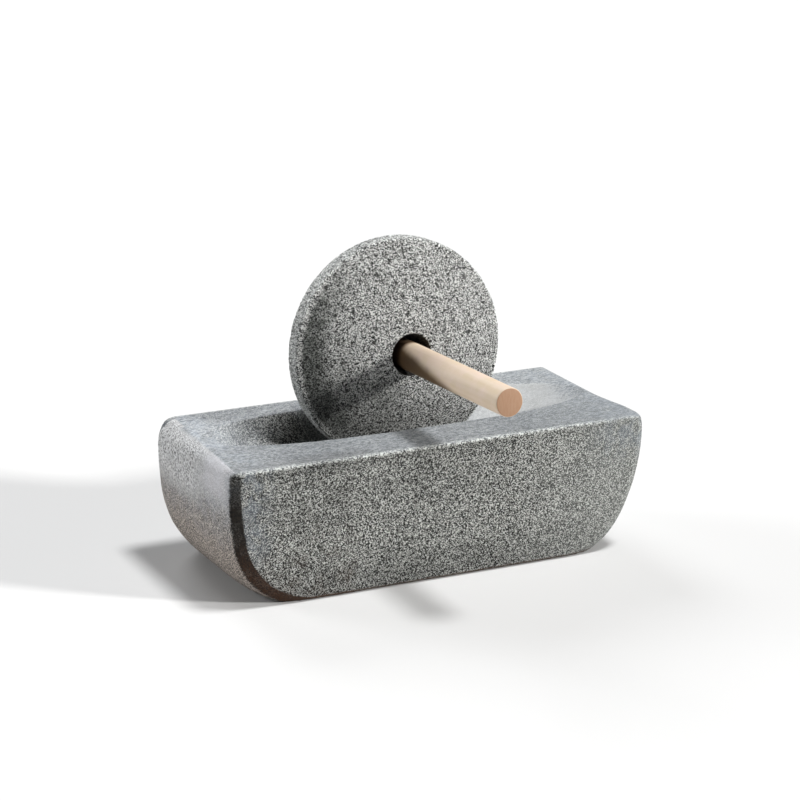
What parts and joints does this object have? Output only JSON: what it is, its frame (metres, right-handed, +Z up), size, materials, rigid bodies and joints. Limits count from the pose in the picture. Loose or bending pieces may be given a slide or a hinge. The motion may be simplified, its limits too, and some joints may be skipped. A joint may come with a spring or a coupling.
{
  "type": "stone wheel and trough grinder",
  "caption": "Grey granite hand mill: a trough with a boat-shaped groove, a stone wheel standing in it on its rim, and a wooden bar through the wheel to roll it by.",
  "frame": {"origin": "middle of the trough's flat underside", "axes": "+X along the trough, towards the end to the right of someone facing its front; +Y across it, to the back; +Z up"},
  "size_m": [0.3047, 0.2905, 0.2134],
  "materials": {
    "trough_granite": "carved granite, salt and pepper grain, rubbed smooth on top and in the groove",
    "wheel_granite": "carved granite, salt and pepper grain, matt",
    "handle_wood": "plain sanded beech dowel, no varnish"
  },
  "bodies": {
    "root": {"trough": "trough_granite", "wheel": "wheel_granite", "handle": "handle_wood"}
  },
  "joints": []
}
